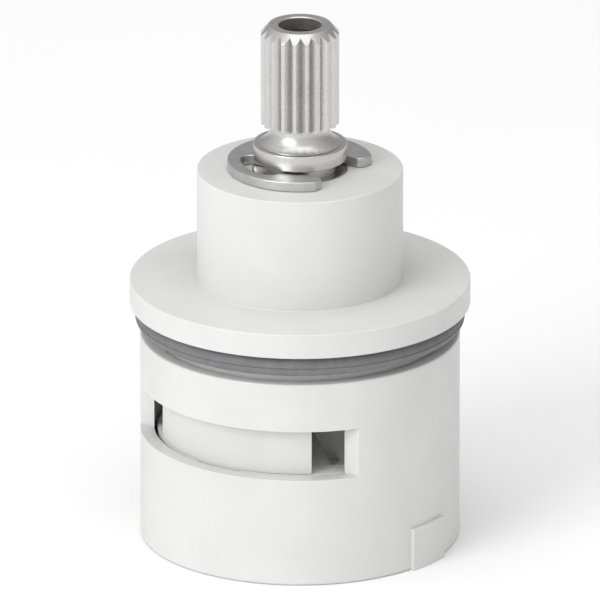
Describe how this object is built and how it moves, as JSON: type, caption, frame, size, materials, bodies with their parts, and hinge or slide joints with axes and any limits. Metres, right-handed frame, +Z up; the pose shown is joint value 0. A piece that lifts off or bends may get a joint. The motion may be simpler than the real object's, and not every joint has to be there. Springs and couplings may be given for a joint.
{
  "type": "diverter cartridge",
  "caption": "Ceramic disc diverter cartridge: splined stem with an E-clip on a flanged bonnet, over a round sleeve with a side window and a locating tab.",
  "frame": {"origin": "centre of the bottom face, on the stem axis", "axes": "+Z up along the stem, the side window faces -Y and the locating tab faces +X"},
  "size_m": [0.034, 0.034, 0.0538],
  "materials": {
    "housing_plastic": "moulded satin white",
    "inner_plastic": "moulded off-white",
    "slip_plastic": "low friction, smooth",
    "ceramic": "lapped alumina ceramic, smooth white",
    "seal_rubber": "soft, matt",
    "stem_metal": "turned, nickel plated",
    "clip_steel": "stamped stainless steel"
  },
  "bodies": {
    "housing": {"outer_sleeve": "housing_plastic", "base_insert": "inner_plastic", "fixed_disc": "ceramic", "slip_ring": "slip_plastic", "bonnet": "housing_plastic", "flange_o_ring": "seal_rubber", "bottom_seal_1": "seal_rubber", "bottom_seal_2": "seal_rubber", "bottom_seal_3": "seal_rubber", "bottom_seal_4": "seal_rubber", "disc_seal_1": "seal_rubber", "disc_seal_2": "seal_rubber", "disc_seal_3": "seal_rubber", "disc_seal_4": "seal_rubber"},
    "spindle": {"stem": "stem_metal", "retaining_clip": "clip_steel", "thrust_washer": "slip_plastic", "stem_o_ring_upper": "seal_rubber", "stem_o_ring_lower": "seal_rubber", "stop_ring": "clip_steel", "disc_carrier": "inner_plastic", "moving_disc": "ceramic"}
  },
  "joints": [
    {"name": "stem_turn", "type": "hinge", "parent": "housing", "child": "spindle", "pos_m": [0, 0, 0.04], "axis": [0, 0, 1], "range_deg": [0, 90]}
  ]
}
